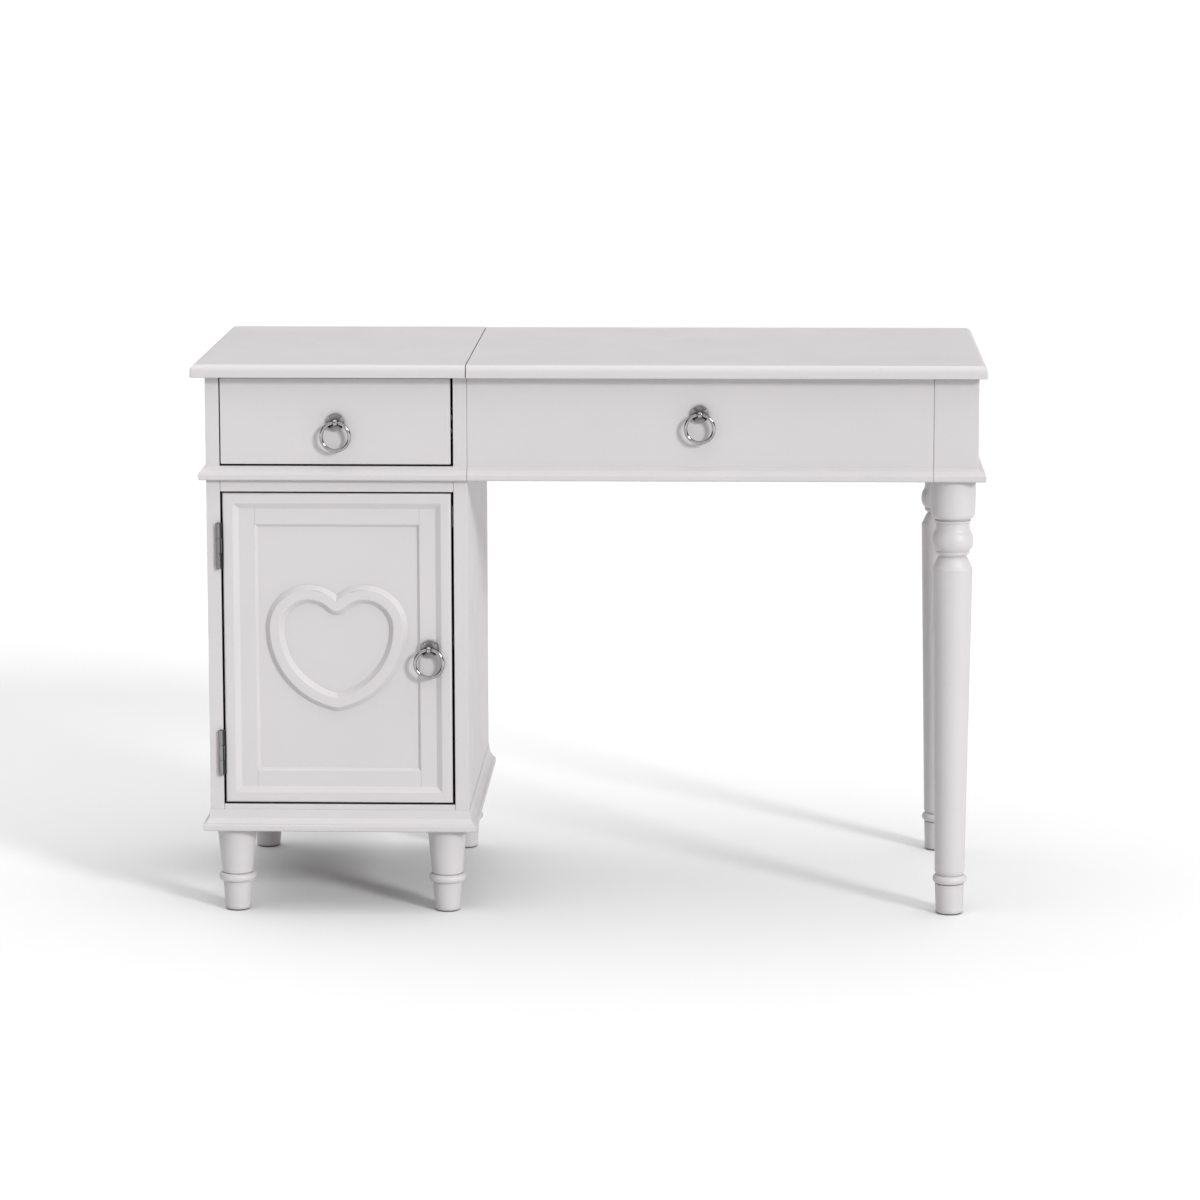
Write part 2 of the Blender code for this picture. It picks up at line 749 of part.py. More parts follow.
def lid_leaves(side, centre, lid_pivot):
    axis = (LID_AXIS_Y, LID_AXIS_Z)
    start, end = centre - LID_HINGE_LENGTH / 2, centre + LID_HINGE_LENGTH / 2
    third = LID_HINGE_LENGTH / 3
    near, far = BACK + TOUCH, BACK + TOUCH + LID_LEAF
    outer_thirds = [(start - third, start + third), (end - third, end + third)]
    leaves = {
        "fixed": (-1, 0.024, None, [(start + third, end - third)]),
        "moving": (1, 0.0145, lid_pivot, outer_thirds),
    }
    for kind, (up, reach, parent, notches) in leaves.items():
        begin = math.degrees(math.acos((far - axis[0]) / LID_KNUCKLE))
        outline = arc(axis, LID_KNUCKLE, up * begin, up * (begin - 300), 24)
        outline += [(near, axis[1] + up * height) for height in (LID_LEAF, reach)]
        outline += [(far, axis[1] + up * reach)]
        leaf = prism(f"lid_hinge_{side}_{kind}_leaf", "x", outline, start, end, STEEL, parent)
        for i, (left, right) in enumerate(notches):
            spare = KNUCKLE_GAP / 2
            ends = sorted((axis[1] - up * 0.004, axis[1] + up * 0.0029))
            cut_low = (left - spare, axis[0] - 0.004, ends[0])
            cut_high = (right + spare, axis[0] + 0.004, ends[1])
            combine(leaf, block(f"lid_hinge_{side}_{kind}_notch_{i}", cut_low, cut_high))
        radius = PIN if kind == "fixed" else PIN_BORE
        pin = prism(f"lid_hinge_{side}_{kind}_pin", "x", circle(axis, radius, 12), start - 0.001, end + 0.001)
        combine(leaf, pin, "UNION" if kind == "fixed" else "DIFFERENCE")


def mirror(lid_pivot):
    top = TOP_UNDERSIDE - TOUCH
    corners = [
        (MIRROR_LEFT, MIRROR_FRONT),
        (MIRROR_LEFT, MIRROR_REAR),
        (MIRROR_RIGHT, MIRROR_REAR),
        (MIRROR_RIGHT, MIRROR_FRONT),
    ]
    ledge = top - GLASS - 3 * TOUCH
    section = [(0.0, top), (0.016, top), (0.016, ledge), (0.024, ledge), (0.024, top - 0.0075)]
    section += arc((0.019, top - 0.0075), 0.005, 0, -90, 3)[1:]
    section += arc((0.005, top - 0.0075), 0.005, -90, -180, 3)
    sweep("mirror_frame", "z", corners, section, LACQUER, lid_pivot, closed=True)
    block(
        "mirror_glass",
        (MIRROR_LEFT + MIRROR_RABBET, MIRROR_FRONT + MIRROR_RABBET, top - TOUCH - GLASS),
        (MIRROR_RIGHT - MIRROR_RABBET, MIRROR_REAR - MIRROR_RABBET, top - TOUCH),
        SILVERED,
        lid_pivot,
    )


def stay_point(forward, below):
    return Vector((LID_AXIS_Y - forward, LID_AXIS_Z - below))


def stay_knuckle():
    """Where the two arms meet at rest: the lower of the two points at both arms' lengths."""
    base, lid_end = stay_point(*STAY_BASE), stay_point(*STAY_LID)
    span = lid_end - base
    reach = (STAY_LOWER**2 - STAY_UPPER**2 + span.length_squared) / (2 * span.length)
    aside = math.sqrt(STAY_LOWER**2 - reach**2)
    direction = span.normalized()
    across = Vector((-direction.y, direction.x))
    return base + direction * reach + across * aside


def rounded_bar(start, end, radius):
    angle = math.degrees(math.atan2(end.y - start.y, end.x - start.x))
    rounded_end = arc(end, radius, angle - 90, angle + 90, 12)
    return rounded_end + arc(start, radius, angle + 90, angle + 270, 12)


def rivet(name, piece, centre, x):
    """A shouldered rivet that stands out of a flat piece towards -X, through the next piece."""
    head = 0.0010
    reach = STAY_PITCH + STAY_ARM_THICKNESS / 2
    section = [(0.0, head), (0.0042, head), (0.0042, 0.0002), (RIVET, 0.0), (RIVET, -reach), (0.0, -reach)]
    facing_left = (0, math.radians(-90), 0)
    shank_end = x - STAY_PITCH - 0.0002
    tool = turned(name, section, None, 24, (shank_end, *centre), facing_left)
    combine(piece, tool, "UNION")


def stay(lid_pivot):
    base, knuckle, lid_end = stay_point(*STAY_BASE), stay_knuckle(), stay_point(*STAY_LID)
    plate_x = STAY_WALL_X - TOUCH
    layers = [plate_x - i * STAY_PITCH for i in range(4)]
    thick = STAY_ARM_THICKNESS

    plate = rounded_bar(base + Vector((0, 0.012)), base - Vector((0, 0.012)), 0.009)
    bracket = prism("stay_base_bracket", "x", plate, layers[0] - thick, layers[0], ZINC)
    rivet("stay_base_rivet", bracket, base, layers[0] - thick)

    lower_pivot = pivot("stay_lower_pivot", (layers[1], *base))
    bar = rounded_bar(base, knuckle, STAY_ARM_RADIUS)
    lower = prism("stay_lower_arm", "x", bar, layers[1] - thick, layers[1], ZINC, lower_pivot)
    combine(lower, prism("stay_lower_hole", "x", circle(base, RIVET_HOLE), layers[2], layers[0]))
    rivet("stay_knuckle_rivet", lower, knuckle, layers[1] - thick)

    upper_pivot = pivot("stay_upper_pivot", (layers[2], *knuckle))
    hang(upper_pivot, lower_pivot)
    bar = rounded_bar(knuckle, lid_end, STAY_ARM_RADIUS)
    upper = prism("stay_upper_arm", "x", bar, layers[2] - thick, layers[2], ZINC, upper_pivot)
    combine(upper, prism("stay_upper_hole", "x", circle(knuckle, RIVET_HOLE), layers[3], layers[1]))
    rivet("stay_lid_rivet", upper, lid_end, layers[2] - thick)

    tab_top = TOP_UNDERSIDE - TOUCH
    tab_low = lid_end.y - 0.008
    flange = 0.002
    outline = [
        (layers[3], tab_top),
        (layers[3] - 0.022, tab_top),
        (layers[3] - 0.022, tab_top - flange),
        (layers[3] - thick, tab_top - flange),
        (layers[3] - thick, tab_low),
        (layers[3], tab_low),
    ]
    middle = lid_end.x - 0.002
    angle = prism("stay_lid_bracket", "y", outline, middle - 0.014, middle + 0.014, ZINC, lid_pivot)
    along = Vector((-math.cos(SLOT_TILT), math.sin(SLOT_TILT))) * SLOT_LENGTH
    slot = rounded_bar(lid_end, lid_end + along, SLOT_RADIUS)
    combine(angle, prism("stay_slot", "x", slot, layers[3] - 0.005, layers[3] + 0.002))


def lid():
    lid_pivot = pivot("lid_swing", ((LID_LEFT + LID_RIGHT) / 2, LID_AXIS_Y, LID_AXIS_Z))
    top_board("lid_board", (LID_LEFT, -DEPTH / 2), (LID_RIGHT, BACK), ("front", "right"), lid_pivot)
    hinges = {"left": LID_LEFT + LID_HINGE_INSET, "right": LID_RIGHT - LID_HINGE_INSET}
    for side, centre in hinges.items():
        lid_leaves(side, centre, lid_pivot)
    mirror(lid_pivot)
    stay(lid_pivot)


def main():
    cabinet_carcass()
    top_board(
        "cabinet_top",
        (-WIDTH / 2, -DEPTH / 2),
        (CABINET_RIGHT - TOP_SEAM / 2, DEPTH / 2),
        ("front", "left"),
    )
    cabinet_mouldings()
    cabinet_feet()
    drawer()
    door()
    desk_frame()
    desk_legs()
    apron_middle = (CABINET_RIGHT + DESK_RIGHT - POST) / 2
    apron_pull_z = (DRAWER_LOW + DRAWER_HIGH) / 2 + APRON_PULL_RISE
    ring_pull("apron", apron_middle, FACE + APRON_RECESS, apron_pull_z, None)
    lid()


main()
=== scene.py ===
"""Looks for a white vanity table: a cabinet with a drawer and a door, beside a desk with a mirror lid.

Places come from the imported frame. Lengths are in metres, +Z is up and the front faces -Y.
"""

import json
import math

import bmesh
import bpy
from mathutils import Matrix, Vector


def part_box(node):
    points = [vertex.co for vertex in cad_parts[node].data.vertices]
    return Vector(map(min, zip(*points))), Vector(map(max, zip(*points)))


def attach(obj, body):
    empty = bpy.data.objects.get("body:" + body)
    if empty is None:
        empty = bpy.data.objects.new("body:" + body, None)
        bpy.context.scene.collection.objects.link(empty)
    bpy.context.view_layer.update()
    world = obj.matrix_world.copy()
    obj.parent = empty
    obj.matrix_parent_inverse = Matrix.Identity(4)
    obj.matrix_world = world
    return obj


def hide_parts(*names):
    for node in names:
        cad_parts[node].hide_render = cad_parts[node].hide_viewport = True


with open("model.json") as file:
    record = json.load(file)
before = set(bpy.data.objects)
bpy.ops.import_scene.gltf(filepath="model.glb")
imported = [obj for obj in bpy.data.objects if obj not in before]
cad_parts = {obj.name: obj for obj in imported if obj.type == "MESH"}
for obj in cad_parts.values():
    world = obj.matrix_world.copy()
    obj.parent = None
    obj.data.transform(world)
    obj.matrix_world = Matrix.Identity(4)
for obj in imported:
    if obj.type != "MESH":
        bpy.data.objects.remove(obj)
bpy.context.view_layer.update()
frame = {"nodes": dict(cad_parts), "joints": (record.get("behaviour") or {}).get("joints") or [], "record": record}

# TOUCH is a small step that keeps two faces out of one plane, and EMBED is how far a moulding's back is
# let into its board.
TOUCH = 0.0003
EMBED = 0.0006
UP = Vector((0, 0, 1))

# Camera, level with a standing person's chest and a little right of the table's middle.
CAMERA_PLACE = Vector((0.228, -6.261, 1.502))
CAMERA_YAW = math.radians(2.01)
CAMERA_PITCH = math.radians(8.32)
CAMERA_ROLL = math.radians(-0.12)
CAMERA_LENS = 132.3
CAMERA_SENSOR = 36
CAMERA_SHIFT = -0.1
CAMERA_REACH = 200

# Light. A fade is given as the sines of the angles at which it starts and ends.
KEY_DIRECTION = Vector((-0.90, 1.0, -0.53))
KEY_STRENGTH = 2.1
KEY_SOFTNESS = math.radians(11)
SKY_TOP = 2.0
SKY_LOW = 0.03
SKY_FADE = (0.30, 0.95)
SKY_SIDE = 0.03
PANEL_EDGE = (0.62, 0.80)
PANEL_TOP = (0.30, 0.52)
HORIZON_GLOW = 0.86
HORIZON_FADE = (0.08, 0.12)
FLOOR_REACH = 60

# Tops: the lip's height, how far the round-over reaches in, and the rounding of corners and lower edges.
TOP_LIP = 0.008
TOP_INSET = 0.009
TOP_CORNER = 0.0025
TOP_EASING = 0.0012
PLAIN_CORNER = 0.0004

# Mouldings. Points are (out from the face, up from the underside).
NOSE_UNDERCUT = 0.0006
NOSE_UNDER_ROUND = 0.0028
NOSE_TOP_ROUND = 0.0030
WAIST_OUT = 0.0105
WAIST_NOSE = 0.0082
WAIST_SHOULDER_OUT = 0.0058
WAIST_SHOULDER_DROP = 0.0049
BASE_OUT = 0.011
BASE_NOSE = 0.0095
BASE_CREASE = (0.0076, 0.0108)
BASE_STEP = (0.0062, 0.0122)
BASE_SLOPE_TOP = (0.0022, 0.0180)
SEAM_WIDTH = 0.0005

# Door frame, as insets from the door's edge and depths behind its face.
DOOR_BORDER = 0.0143
DOOR_BEVEL = 0.0225
DOOR_FLAT = 0.0447
DOOR_STEP = 0.0487
DOOR_RABBET = 0.0375
DOOR_THICKNESS = 0.020
FLAT_DEPTH = 0.0050
SCORE_WIDTH = 0.0008
SCORE_DEPTH = 0.0005

# Heart band on the door panel.
HEART_LOBE = 0.0544
HEART_LOBE_X = 0.0388
HEART_SIDE = 0.1145
HEART_SLOPE = 0.0065
HEART_BAND = 0.0135
HEART_CREST_ROUND = 0.0024
HEART_STEPS = (10, 48, 48)

# Ring pulls.
KNOB_RADIUS = 0.0122
KNOB_HEIGHT = 0.0084
KNOB_SLOPE = 0.35
KNOB_RINGS = 13
RIDGE_HEIGHT = 0.0008
RIDGE_HALF_WIDTH = 0.0010
EYE_RADIUS = 0.0052
EYE_HOLE = 0.0032
EYE_WIDTH = 0.0055
RING_WIRE = 0.0024

# Mirror frame, as insets from its outer edge, and the bevel that shows on the glass.
MIRROR_FLAT = 0.016
MIRROR_LIP = 0.024
MIRROR_BEVEL = 0.011

# Lid hinge screws.
SCREW_RADIUS = 0.0030
SCREW_SPACING = (0.16, 0.5, 0.84)
LEAF_THICKNESS = 0.0012


# Node trees.


def node(tree, kind, settings=None, **inputs):
    """A new node. An input is a number, a colour or the socket that feeds it."""
    made = tree.nodes.new(kind)
    for name, value in (settings or {}).items():
        setattr(made, name, value)
    for name, value in inputs.items():
        socket = made.inputs[name.replace("_", " ")]
        if isinstance(value, bpy.types.NodeSocket):
            tree.links.new(value, socket)
        else:
            socket.default_value = value
    return made


def noise(tree, scale, detail=2.0, stretch=(1, 1, 1)):
    place = node(tree, "ShaderNodeTexCoord").outputs["Object"]
    place = node(tree, "ShaderNodeMapping", Vector=place, Scale=stretch).outputs["Vector"]
    return node(tree, "ShaderNodeTexNoise", Vector=place, Scale=scale, Detail=detail).outputs["Fac"]


def ranged(tree, value, start, end, low, high):
    """value from start to end, mapped to low to high and held there."""
    made = node(
        tree, "ShaderNodeMapRange", Value=value, From_Min=start, From_Max=end, To_Min=low, To_Max=high
    )
    return made.outputs["Result"]


def spread(tree, value, low, high):
    """Noise, which lies mostly from 0.3 to 0.7, mapped to low to high."""
    return ranged(tree, value, 0.3, 0.7, low, high)


def blended(tree, factor, first, second, kind="MIX"):
    made = tree.nodes.new("ShaderNodeMix")
    made.data_type = "RGBA"
    made.blend_type = kind
    for socket, value in zip((made.inputs[0], made.inputs[6], made.inputs[7]), (factor, first, second)):
        if isinstance(value, bpy.types.NodeSocket):
            tree.links.new(value, socket)
        else:
            socket.default_value = value
    return made.outputs[2]


def scaled(tree, colour, factor):
    return blended(tree, 1.0, colour, factor, "MULTIPLY")


def arithmetic(tree, operation, *sockets):
    made = node(tree, "ShaderNodeMath", {"operation": operation})
    for value, socket in zip(sockets, made.inputs):
        tree.links.new(value, socket)
    return made.outputs[0]


def bumped(tree, height, distance, strength, normal=None):
    made = node(tree, "ShaderNodeBump", Height=height, Distance=distance, Strength=strength)
    if normal is not None:
        tree.links.new(normal, made.inputs["Normal"])
    return made.outputs["Normal"]


def painted_crevice_shade(tree, reach, start, end, darkest):
    """Painted shade: the colour darkened where faces close in on each other within reach, from ambient occlusion.
    """
    shade = node(tree, "ShaderNodeAmbientOcclusion", {"samples": 8}, Distance=reach).outputs["AO"]
    return ranged(tree, shade, start, end, darkest, 1.0)


def new_material(name, metallic=0.0, **values):
    material = bpy.data.materials.new(name)
    material.use_nodes = True
    shader = material.node_tree.nodes["Principled BSDF"]
    shader.inputs["Metallic"].default_value = metallic
    for key, value in values.items():
        shader.inputs[key.replace("_", " ")].default_value = value
    return material, material.node_tree, shader


def connect(tree, shader, **sockets):
    for key, socket in sockets.items():
        tree.links.new(socket, shader.inputs[key.replace("_", " ")])


def lacquer():
    """Sprayed satin lacquer: faint clouding, orange peel, slow sags, and painted shade in joints, gaps and
    grooves.
    """
    material, tree, shader = new_material("white_lacquer", Coat_Weight=0.06, Coat_Roughness=0.3)
    clouds = ranged(tree, noise(tree, 4.0, 4.0), 0.35, 0.65, 0.0, 1.0)
    colour = blended(tree, clouds, (0.508, 0.491, 0.497, 1), (0.523, 0.506, 0.512, 1))
    specks = ranged(tree, noise(tree, 420.0, 2.0), 0.28, 0.34, 0.94, 1.0)
    colour = scaled(tree, colour, specks)
    # Painted shade: ambient occlusion darkens the colour in joints, gaps and grooves, where shade falls.
    colour = scaled(tree, colour, painted_crevice_shade(tree, 0.016, 0.18, 0.62, 0.01))
    peel = bumped(tree, noise(tree, 850.0, 1.0), 0.00008, 0.5)
    normal = bumped(tree, noise(tree, 55.0, 2.0), 0.0004, 0.16, peel)
    roughness = spread(tree, noise(tree, 18.0, 5.0), 0.44, 0.54)
    connect(tree, shader, Base_Color=colour, Roughness=roughness, Normal=normal)
    return material


def drawer_wood():
    """Clear-sealed wood: grain along Y, with a broader figure under fine fibres."""
    material, tree, shader = new_material("sealed_plywood", Coat_Weight=0.12, Coat_Roughness=0.3)
    grain = noise(tree, 90.0, 6.0, (1, 0.06, 1))
    figure = noise(tree, 9.0, 4.0, (1, 0.16, 1))
    tone = spread(tree, figure, 0.0, 1.0)
    colour = blended(tree, tone, (0.66, 0.49, 0.31, 1), (0.77, 0.61, 0.42, 1))
    fibres = ranged(tree, grain, 0.32, 0.6, 0.74, 1.0)
    colour = scaled(tree, colour, fibres)
    # Painted shade: ambient occlusion darkens the colour in corners and joints.
    colour = scaled(tree, colour, painted_crevice_shade(tree, 0.010, 0.05, 0.42, 0.35))
    roughness = spread(tree, grain, 0.42, 0.62)
    normal = bumped(tree, grain, 0.0003, 0.35)
    connect(tree, shader, Base_Color=colour, Roughness=roughness, Normal=normal)
    return material


def metal(name, dark, light, rough, stretch, scratch, shade):
    """A metal with streaked or mottled tone, fine scratches, and painted shade where it is sheltered.

    rough is the least and most roughness, and shade is the reach, start, end and darkest of the painted crevice
    shade.
    """
    material, tree, shader = new_material(name, metallic=1.0)
    streaks = noise(tree, 160.0, 4.0, stretch)
    tone = spread(tree, streaks, 0.0, 1.0)
    colour = blended(tree, tone, (*dark, 1), (*light, 1))
    # Painted shade: ambient occlusion darkens the colour where the metal is sheltered.
    colour = scaled(tree, colour, painted_crevice_shade(tree, *shade))
    fine = noise(tree, 900.0, 3.0, stretch)
    roughness = spread(tree, fine, *rough)
    normal = bumped(tree, fine, 0.00006, scratch)
    connect(tree, shader, Base_Color=colour, Roughness=roughness, Normal=normal)
    return material


def mirror_glass():
    """Silvered glass with the faintest haze and a few wiping marks."""
    material, tree, shader = new_material(
        "silvered_glass", metallic=1.0, Coat_Weight=1.0, Coat_Roughness=0.0
    )
    haze = ranged(tree, noise(tree, 7.0, 5.0), 0.35, 0.7, 0.0, 1.0)
    colour = blended(tree, haze, (0.90, 0.925, 0.915, 1), (0.86, 0.89, 0.88, 1))
    roughness = ranged(tree, noise(tree, 30.0, 6.0, (1, 0.3, 1)), 0.4, 0.7, 0.008, 0.035)
    connect(tree, shader, Base_Color=colour, Roughness=roughness)
    return material


def moulded_plastic():
    material, tree, shader = new_material("moulded_plastic")
    grain = noise(tree, 1400.0, 2.0)
    tone = spread(tree, noise(tree, 60.0, 3.0), 0.0, 1.0)
    colour = blended(tree, tone, (0.80, 0.80, 0.78, 1), (0.86, 0.86, 0.85, 1))
    # Painted shade: ambient occlusion darkens the colour in the catch's corners.
    colour = scaled(tree, colour, painted_crevice_shade(tree, 0.004, 0.05, 0.45, 0.4))
    roughness = spread(tree, grain, 0.42, 0.55)
    normal = bumped(tree, grain, 0.00008, 0.4)
    connect(tree, shader, Base_Color=colour, Roughness=roughness, Normal=normal)
    return material


def floor_paint():
    material, tree, shader = new_material("studio_floor")
    tone = spread(tree, noise(tree, 1.5, 3.0), 0.0, 1.0)
    colour = blended(tree, tone, (0.745, 0.745, 0.747, 1), (0.755, 0.755, 0.756, 1))
    roughness = spread(tree, noise(tree, 12.0, 3.0), 0.75, 0.85)
    connect(tree, shader, Base_Color=colour, Roughness=roughness)
    return material


MATERIALS = {
    "lacquer": lacquer(),
    "drawer_wood": drawer_wood(),
    "hinge_steel": metal(
        "satin_steel",
        dark=(0.19, 0.19, 0.20),
        light=(0.33, 0.33, 0.34),
        rough=(0.22, 0.36),
        stretch=(1, 1, 0.12),
        scratch=0.5,
        # Painted shade: ambient occlusion darkens the hinge's sheltered faces and outlines.
        shade=(0.030, 0.56, 0.97, 0.01),
    ),
    "zinc": metal(
        "zinc_plate",
        dark=(0.50, 0.52, 0.55),
        light=(0.68, 0.69, 0.70),
        rough=(0.28, 0.42),
        stretch=(1, 1, 1),
        scratch=0.3,
        # Painted shade in the screw slots and leaf corners.
        shade=(0.004, 0.05, 0.60, 0.3),
    ),
    "nickel": metal(
        "polished_nickel",
        dark=(0.33, 0.325, 0.325),
        light=(0.50, 0.495, 0.495),
        rough=(0.06, 0.14),
        stretch=(1, 1, 1),
        scratch=0.12,
        # Painted shade and reflection: a long ambient-occlusion reach darkens the pulls' sideways faces to near
        # black, standing in for shade and dark reflections.
        shade=(0.060, 0.60, 0.97, 0.10),
    ),
    "mirror": mirror_glass(),
    "catch_plastic": moulded_plastic(),
}


# Mesh building.


def rounded(corners, steps=6):
    """A closed outline whose corners, each (u, v, radius), are rounded with arcs."""
    points = []
    for i, (u, v, radius) in enumerate(corners):
        here = Vector((u, v))
        if radius == 0:
            points.append((u, v))
            continue
        before = (Vector(corners[i - 1][:2]) - here).normalized()
        after = (Vector(corners[(i + 1) % len(corners)][:2]) - here).normalized()
        half = before.angle(after) / 2
        centre = here + (before + after).normalized() * radius / math.sin(half)
        start = here + before * radius / math.tan(half) - centre
        end = here + after * radius / math.tan(half) - centre
        turn = math.copysign(math.pi - 2 * half, start.x * end.y - start.y * end.x)
        for k in range(steps + 1):
            point = centre + Matrix.Rotation(turn * k / steps, 2) @ start
            points.append((point.x, point.y))
    return points


def circle(steps):
    """The angles of equal steps once round."""
    return [2 * math.pi * i / steps for i in range(steps)]


def arc(centre, radius, start, end, steps):
    """Points from one angle to another, in degrees, with both ends."""
    angles = [math.radians(start + (end - start) * i / steps) for i in range(steps + 1)]
    return [(centre[0] + radius * math.cos(a), centre[1] + radius * math.sin(a)) for a in angles]


def curve_through(points, steps=6):
    """A smooth Catmull-Rom line through points, with both ends."""
    knots = [Vector(p) for p in points]
    knots = [2 * knots[0] - knots[1]] + knots + [2 * knots[-1] - knots[-2]]
    line = []
    for a, b, c, d in zip(knots, knots[1:], knots[2:], knots[3:]):
        for i in range(steps):
            t = i / steps
            point = b * 2 + (c - a) * t + (a * 2 - b * 5 + c * 4 - d) * t * t
            point += (b * 3 - a - c * 3 + d) * t * t * t
            line.append(tuple(point / 2))
    return line + [tuple(points[-1])]


def placed(axis, u, v, along):
    """The point (u, v) of a cross-section, at a distance along the axis."""
    return {
        "x": Vector((along, u, v)),
        "y": Vector((u, along, v)),
        "z": Vector((u, v, along)),
    }[axis]


def lofted(loops, ring=False):
    """A closed mesh of loops with equal numbers of points, joined in order."""
    shape = bmesh.new()
    rows = [[shape.verts.new(point) for point in loop] for loop in loops]
    pairs = list(zip(rows, rows[1:]))
    if ring:
        pairs.append((rows[-1], rows[0]))
    else:
        shape.faces.new(rows[0])
        shape.faces.new(rows[-1])
    count = len(rows[0])
    for near, far in pairs:
        for i in range(count):
            j = (i + 1) % count
            shape.faces.new((near[i], near[j], far[j], far[i]))
    return shape


def prism(axis, outline, start, end):
    return lofted([[placed(axis, u, v, along) for u, v in outline] for along in (start, end)])


def swept(axis, path, profile, closed=False):
    """A profile of (outwards, along the axis) taken round a path with mitred corners."""
    points = [Vector(point) for point in path]
    count = len(points)
    loops = []
    for i, here in enumerate(points):
        runs = []
        if closed or i > 0:
            runs.append(here - points[i - 1])
        if closed or i < count - 1:
            runs.append(points[(i + 1) % count] - here)
        normals = [Vector((run.y, -run.x)).normalized() for run in runs]
        mitre = sum(normals, Vector((0, 0)))
        mitre /= 1 + normals[0].dot(normals[1]) if len(normals) == 2 else 1
        loops.append([placed(axis, *(here + mitre * out), along) for out, along in profile])
    return lofted(loops, ring=closed)


def turned(profile, steps=96):
    """A turned shape: (radius, height) down its outer side, round the Z axis."""
    angles = circle(steps)
    return lofted([[Vector((r * math.cos(a), r * math.sin(a), z)) for a in angles] for r, z in profile])


def new_object(name, data):
    made = bpy.data.objects.new(name, data)
    bpy.context.scene.collection.objects.link(made)
    return made


def smooth_shaded(mesh, sharp):
    """Shades a mesh smooth, except across edges sharper than that many degrees."""
    mesh.shade_smooth()
    mesh.set_sharp_from_angle(angle=math.radians(sharp))


def loose_object(name, shape, sharp=32):
    """A smooth-shaded object of a shape, which is used up."""
    bmesh.ops.recalc_face_normals(shape, faces=shape.faces)
    mesh = bpy.data.meshes.new(name)
    shape.to_mesh(mesh)
    shape.free()
    smooth_shaded(mesh, sharp)
    return new_object(name, mesh)


def carve(piece, tool, operation="DIFFERENCE", sharp=32):
    """Cuts a piece with another shape, or joins them, and keeps only the result."""
    cutter = loose_object("tool", tool)
    step = piece.modifiers.new("carve", "BOOLEAN")
    step.operation = operation
    step.solver = "EXACT"
    step.object = cutter
    bpy.context.view_layer.update()
    result = piece.evaluated_get(bpy.context.evaluated_depsgraph_get())
    mesh = bpy.data.meshes.new_from_object(result)
    piece.modifiers.clear()
    piece.data = mesh
    bpy.data.objects.remove(cutter)
    smooth_shaded(mesh, sharp)


def finish(piece, slot):
    piece.data.materials.clear()
    piece.data.materials.append(MATERIALS[slot])


def round_edges(piece, width, segments, angle):
    """Rounds the edges that are sharper than an angle in degrees."""
    edges = piece.modifiers.new("soft_edges", "BEVEL")
    edges.width = width
    edges.segments = segments
    edges.limit_method = "ANGLE"
    edges.angle_limit = math.radians(angle)


def even_shading(piece):
    shading = piece.modifiers.new("even_shading", "WEIGHTED_NORMAL")
    shading.keep_sharp = True


def dressed(piece, slot, body, replaced=(), bevel=0.0):
    """Gives a piece its finish, its softened edges and the body it rides on."""
    finish(piece, slot)
    if bevel:
        round_edges(piece, bevel, segments=2, angle=50)
    even_shading(piece)
    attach(piece, body)
    if replaced:
        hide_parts(*replaced)


def smoothing_nodes():
    """Geometry nodes that shade a mesh smooth, except across edges sharper than 35 degrees."""
    group = bpy.data.node_groups.new("smooth_by_angle", "GeometryNodeTree")
    for way in ("INPUT", "OUTPUT"):
        group.interface.new_socket("Geometry", in_out=way, socket_type="NodeSocketGeometry")
    start = group.nodes.new("NodeGroupInput")
    end = group.nodes.new("NodeGroupOutput")
    angle = group.nodes.new("GeometryNodeInputMeshEdgeAngle")
    compare = group.nodes.new("FunctionNodeCompare")
    compare.operation = "LESS_EQUAL"
    compare.inputs["B"].default_value = math.radians(35)
    faces = group.nodes.new("GeometryNodeSetShadeSmooth")
    edges = group.nodes.new("GeometryNodeSetShadeSmooth")
    edges.domain = "EDGE"
    link = group.links.new
    link(angle.outputs["Unsigned Angle"], compare.inputs["A"])
    link(start.outputs[0], faces.inputs["Geometry"])
    link(faces.outputs[0], edges.inputs["Geometry"])
    link(compare.outputs[0], edges.inputs["Shade Smooth"])
    link(edges.outputs[0], end.inputs[0])
    return group


SMOOTHING = smoothing_nodes()


def soften(name, slot, width):
    """Keeps a CAD node, with rounded edges and its finish."""
    kept = frame["nodes"][name]
    finish(kept, slot)
    weld = kept.modifiers.new("weld", "WELD")
    weld.merge_threshold = 0.00001
    round_edges(kept, width, segments=3, angle=40)
    smooth = kept.modifiers.new("smooth", "NODES")
    smooth.node_group = SMOOTHING
    even_shading(kept)


# Places that several pieces share, read off the frame.

SIDE_LOW, SIDE_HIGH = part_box("cabinet_side_left")
CABINET_LEFT, FACE = SIDE_LOW.xy
BACK = SIDE_HIGH.y
CABINET_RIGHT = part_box("cabinet_side_right")[1].x
POST_LOW, POST_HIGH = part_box("desk_post_front")


